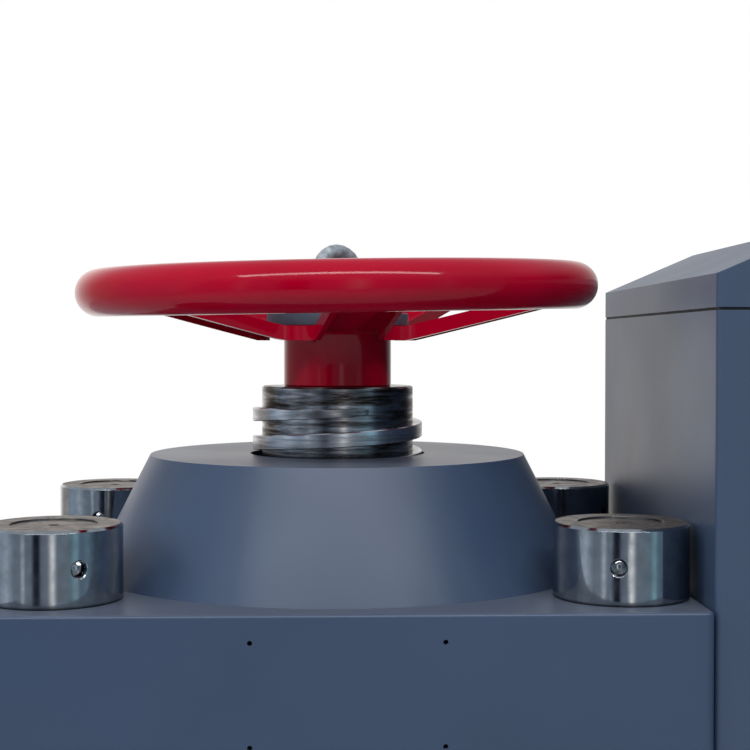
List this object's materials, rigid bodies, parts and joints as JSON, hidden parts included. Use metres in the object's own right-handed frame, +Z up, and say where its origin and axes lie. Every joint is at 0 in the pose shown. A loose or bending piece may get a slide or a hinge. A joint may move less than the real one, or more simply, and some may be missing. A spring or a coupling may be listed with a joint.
{
  "type": "compression testing machine",
  "caption": "Floor-standing compression testing machine: columned load frame with hand-wheel screw, ball-seated platen, hydraulic ram, and a pump and control cabinet beside it.",
  "frame": {"origin": "on the floor, on the load axis, which is the axis of screw, ram and platens", "axes": "+Z up along the load axis; -Y is the operator's side; the cabinet stands on the +X side"},
  "size_m": [0.904, 0.498, 1.2425],
  "materials": {
    "frame_paint": "satin",
    "cabinet_paint": "satin",
    "cast_steel": "machined",
    "turned_steel": "turned, oiled",
    "black_screws": "black oxide",
    "ground_steel": "ground",
    "bright_nuts": "polished",
    "bronze": "machined bronze",
    "black_rubber": "matte",
    "zinc_screws": "zinc plated",
    "panel_paint": "satin",
    "black_plastic": "matte",
    "display_glass": "clear",
    "keypad_film": "embossed film",
    "tank_paint": "satin",
    "motor_paint": "satin",
    "cast_iron": "cast",
    "zinc_steel": "zinc plated",
    "pipe_steel": "drawn",
    "box_paint": "powder coat",
    "oiled_steel": "machined, oiled",
    "wheel_enamel": "gloss enamel",
    "grey_plate": "matte",
    "forged_steel": "rough forged",
    "green_plastic": "gloss",
    "red_plastic": "gloss"
  },
  "bodies": {
    "frame": {"base_casting": "frame_paint", "cylinder": "cast_steel", "cylinder_gland": "turned_steel", "frame_screws": "black_screws", "column_front_left": "ground_steel", "column_front_right": "ground_steel", "column_rear_left": "ground_steel", "column_rear_right": "ground_steel", "column_nuts_top": "bright_nuts", "column_nuts_bottom": "bright_nuts", "crosshead": "frame_paint", "screw_nut": "bronze", "cabinet_shell": "cabinet_paint", "cabinet_lid": "cabinet_paint", "lid_gasket": "black_rubber", "cabinet_back": "cabinet_paint", "cabinet_feet": "black_rubber", "cabinet_ties": "zinc_screws", "instrument_panel": "panel_paint", "display_bezel": "black_plastic", "display_glass": "display_glass", "keypad": "keypad_film", "oil_tank": "tank_paint", "tank_cover": "tank_paint", "filler_cap": "black_plastic", "pump_motor": "motor_paint", "oil_pump": "cast_iron", "valve_block": "zinc_steel", "pressure_sensor": "zinc_steel", "oil_pipes": "pipe_steel", "switchgear_box": "box_paint", "mains_gland": "black_plastic", "cabinet_screws": "zinc_screws", "hinge_pins": "zinc_steel"},
    "ram": {"ram": "ground_steel", "ram_seal": "black_rubber", "lower_platen": "ground_steel"},
    "seat": {"seat_block": "turned_steel", "thrust_pad": "bronze", "seat_cap": "turned_steel", "seat_cap_screws": "black_screws"},
    "liner": {"ball_liner": "bronze"},
    "platen": {"upper_platen": "ground_steel", "platen_keeper": "turned_steel", "keeper_screws": "black_screws"},
    "screw": {"lead_screw": "oiled_steel", "wheel_hub": "wheel_enamel", "wheel_spider": "wheel_enamel", "wheel_rim": "wheel_enamel", "clamp_plate": "grey_plate", "lifting_eyebolt": "forged_steel", "drive_pins": "zinc_screws"},
    "door": {"cabinet_door": "cabinet_paint"},
    "latch": {"door_latch": "black_plastic"},
    "feed_knob": {"feed_valve_knob": "black_plastic"},
    "return_knob": {"return_valve_knob": "black_plastic"},
    "start": {"start_button": "green_plastic"},
    "stop": {"stop_button": "red_plastic"},
    "emergency": {"emergency_stop": "red_plastic"},
    "switch": {"main_switch": "black_plastic"}
  },
  "joints": [
    {"name": "screw_travel", "type": "slide", "parent": "frame", "child": "seat", "axis": [0, 0, 1], "range_m": [-0.066, 0.132]},
    {"name": "screw_turn", "type": "hinge", "parent": "seat", "child": "screw", "pos_m": [0, 0, 1.13], "axis": [0, 0, 1], "range_deg": [-1080, 2160]},
    {"name": "platen_tilt_x", "type": "hinge", "parent": "seat", "child": "liner", "pos_m": [0, 0, 0.54], "axis": [1, 0, 0], "range_deg": [-3, 3]},
    {"name": "platen_tilt_y", "type": "hinge", "parent": "liner", "child": "platen", "pos_m": [0, 0, 0.54], "axis": [0, 1, 0], "range_deg": [-3, 3]},
    {"name": "ram_travel", "type": "slide", "parent": "frame", "child": "ram", "axis": [0, 0, 1], "range_m": [0, 0.05]},
    {"name": "door_swing", "type": "hinge", "parent": "frame", "child": "door", "pos_m": [0.636, -0.211, 0.415], "axis": [0, 0, 1], "range_deg": [0, 110]},
    {"name": "latch_turn", "type": "hinge", "parent": "door", "child": "latch", "pos_m": [0.292, -0.204, 0.415], "axis": [0, -1, 0], "range_deg": [0, 90]},
    {"name": "feed_valve_turn", "type": "hinge", "parent": "frame", "child": "feed_knob", "pos_m": [0.3875, -0.206, 0.868], "axis": [0, -1, 0], "range_deg": [0, 720]},
    {"name": "return_valve_turn", "type": "hinge", "parent": "frame", "child": "return_knob", "pos_m": [0.5175, -0.206, 0.868], "axis": [0, -1, 0], "range_deg": [0, 720]},
    {"name": "start_push", "type": "slide", "parent": "frame", "child": "start", "axis": [0, 1, 0], "range_m": [0, 0.003], "stiffness_N_per_m": 400, "springref_m": -0.002},
    {"name": "stop_push", "type": "slide", "parent": "frame", "child": "stop", "axis": [0, 1, 0], "range_m": [0, 0.003], "stiffness_N_per_m": 400, "springref_m": -0.002},
    {"name": "emergency_push", "type": "slide", "parent": "frame", "child": "emergency", "axis": [0, 1, 0], "range_m": [0, 0.004]},
    {"name": "switch_turn", "type": "hinge", "parent": "frame", "child": "switch", "pos_m": [0.6025, -0.206, 0.868], "axis": [0, 1, 0], "range_deg": [0, 90]}
  ],
  "couplings": [
    {"joint": "screw_travel", "follows": "screw_turn", "m_per_rad": 0.0035014}
  ]
}
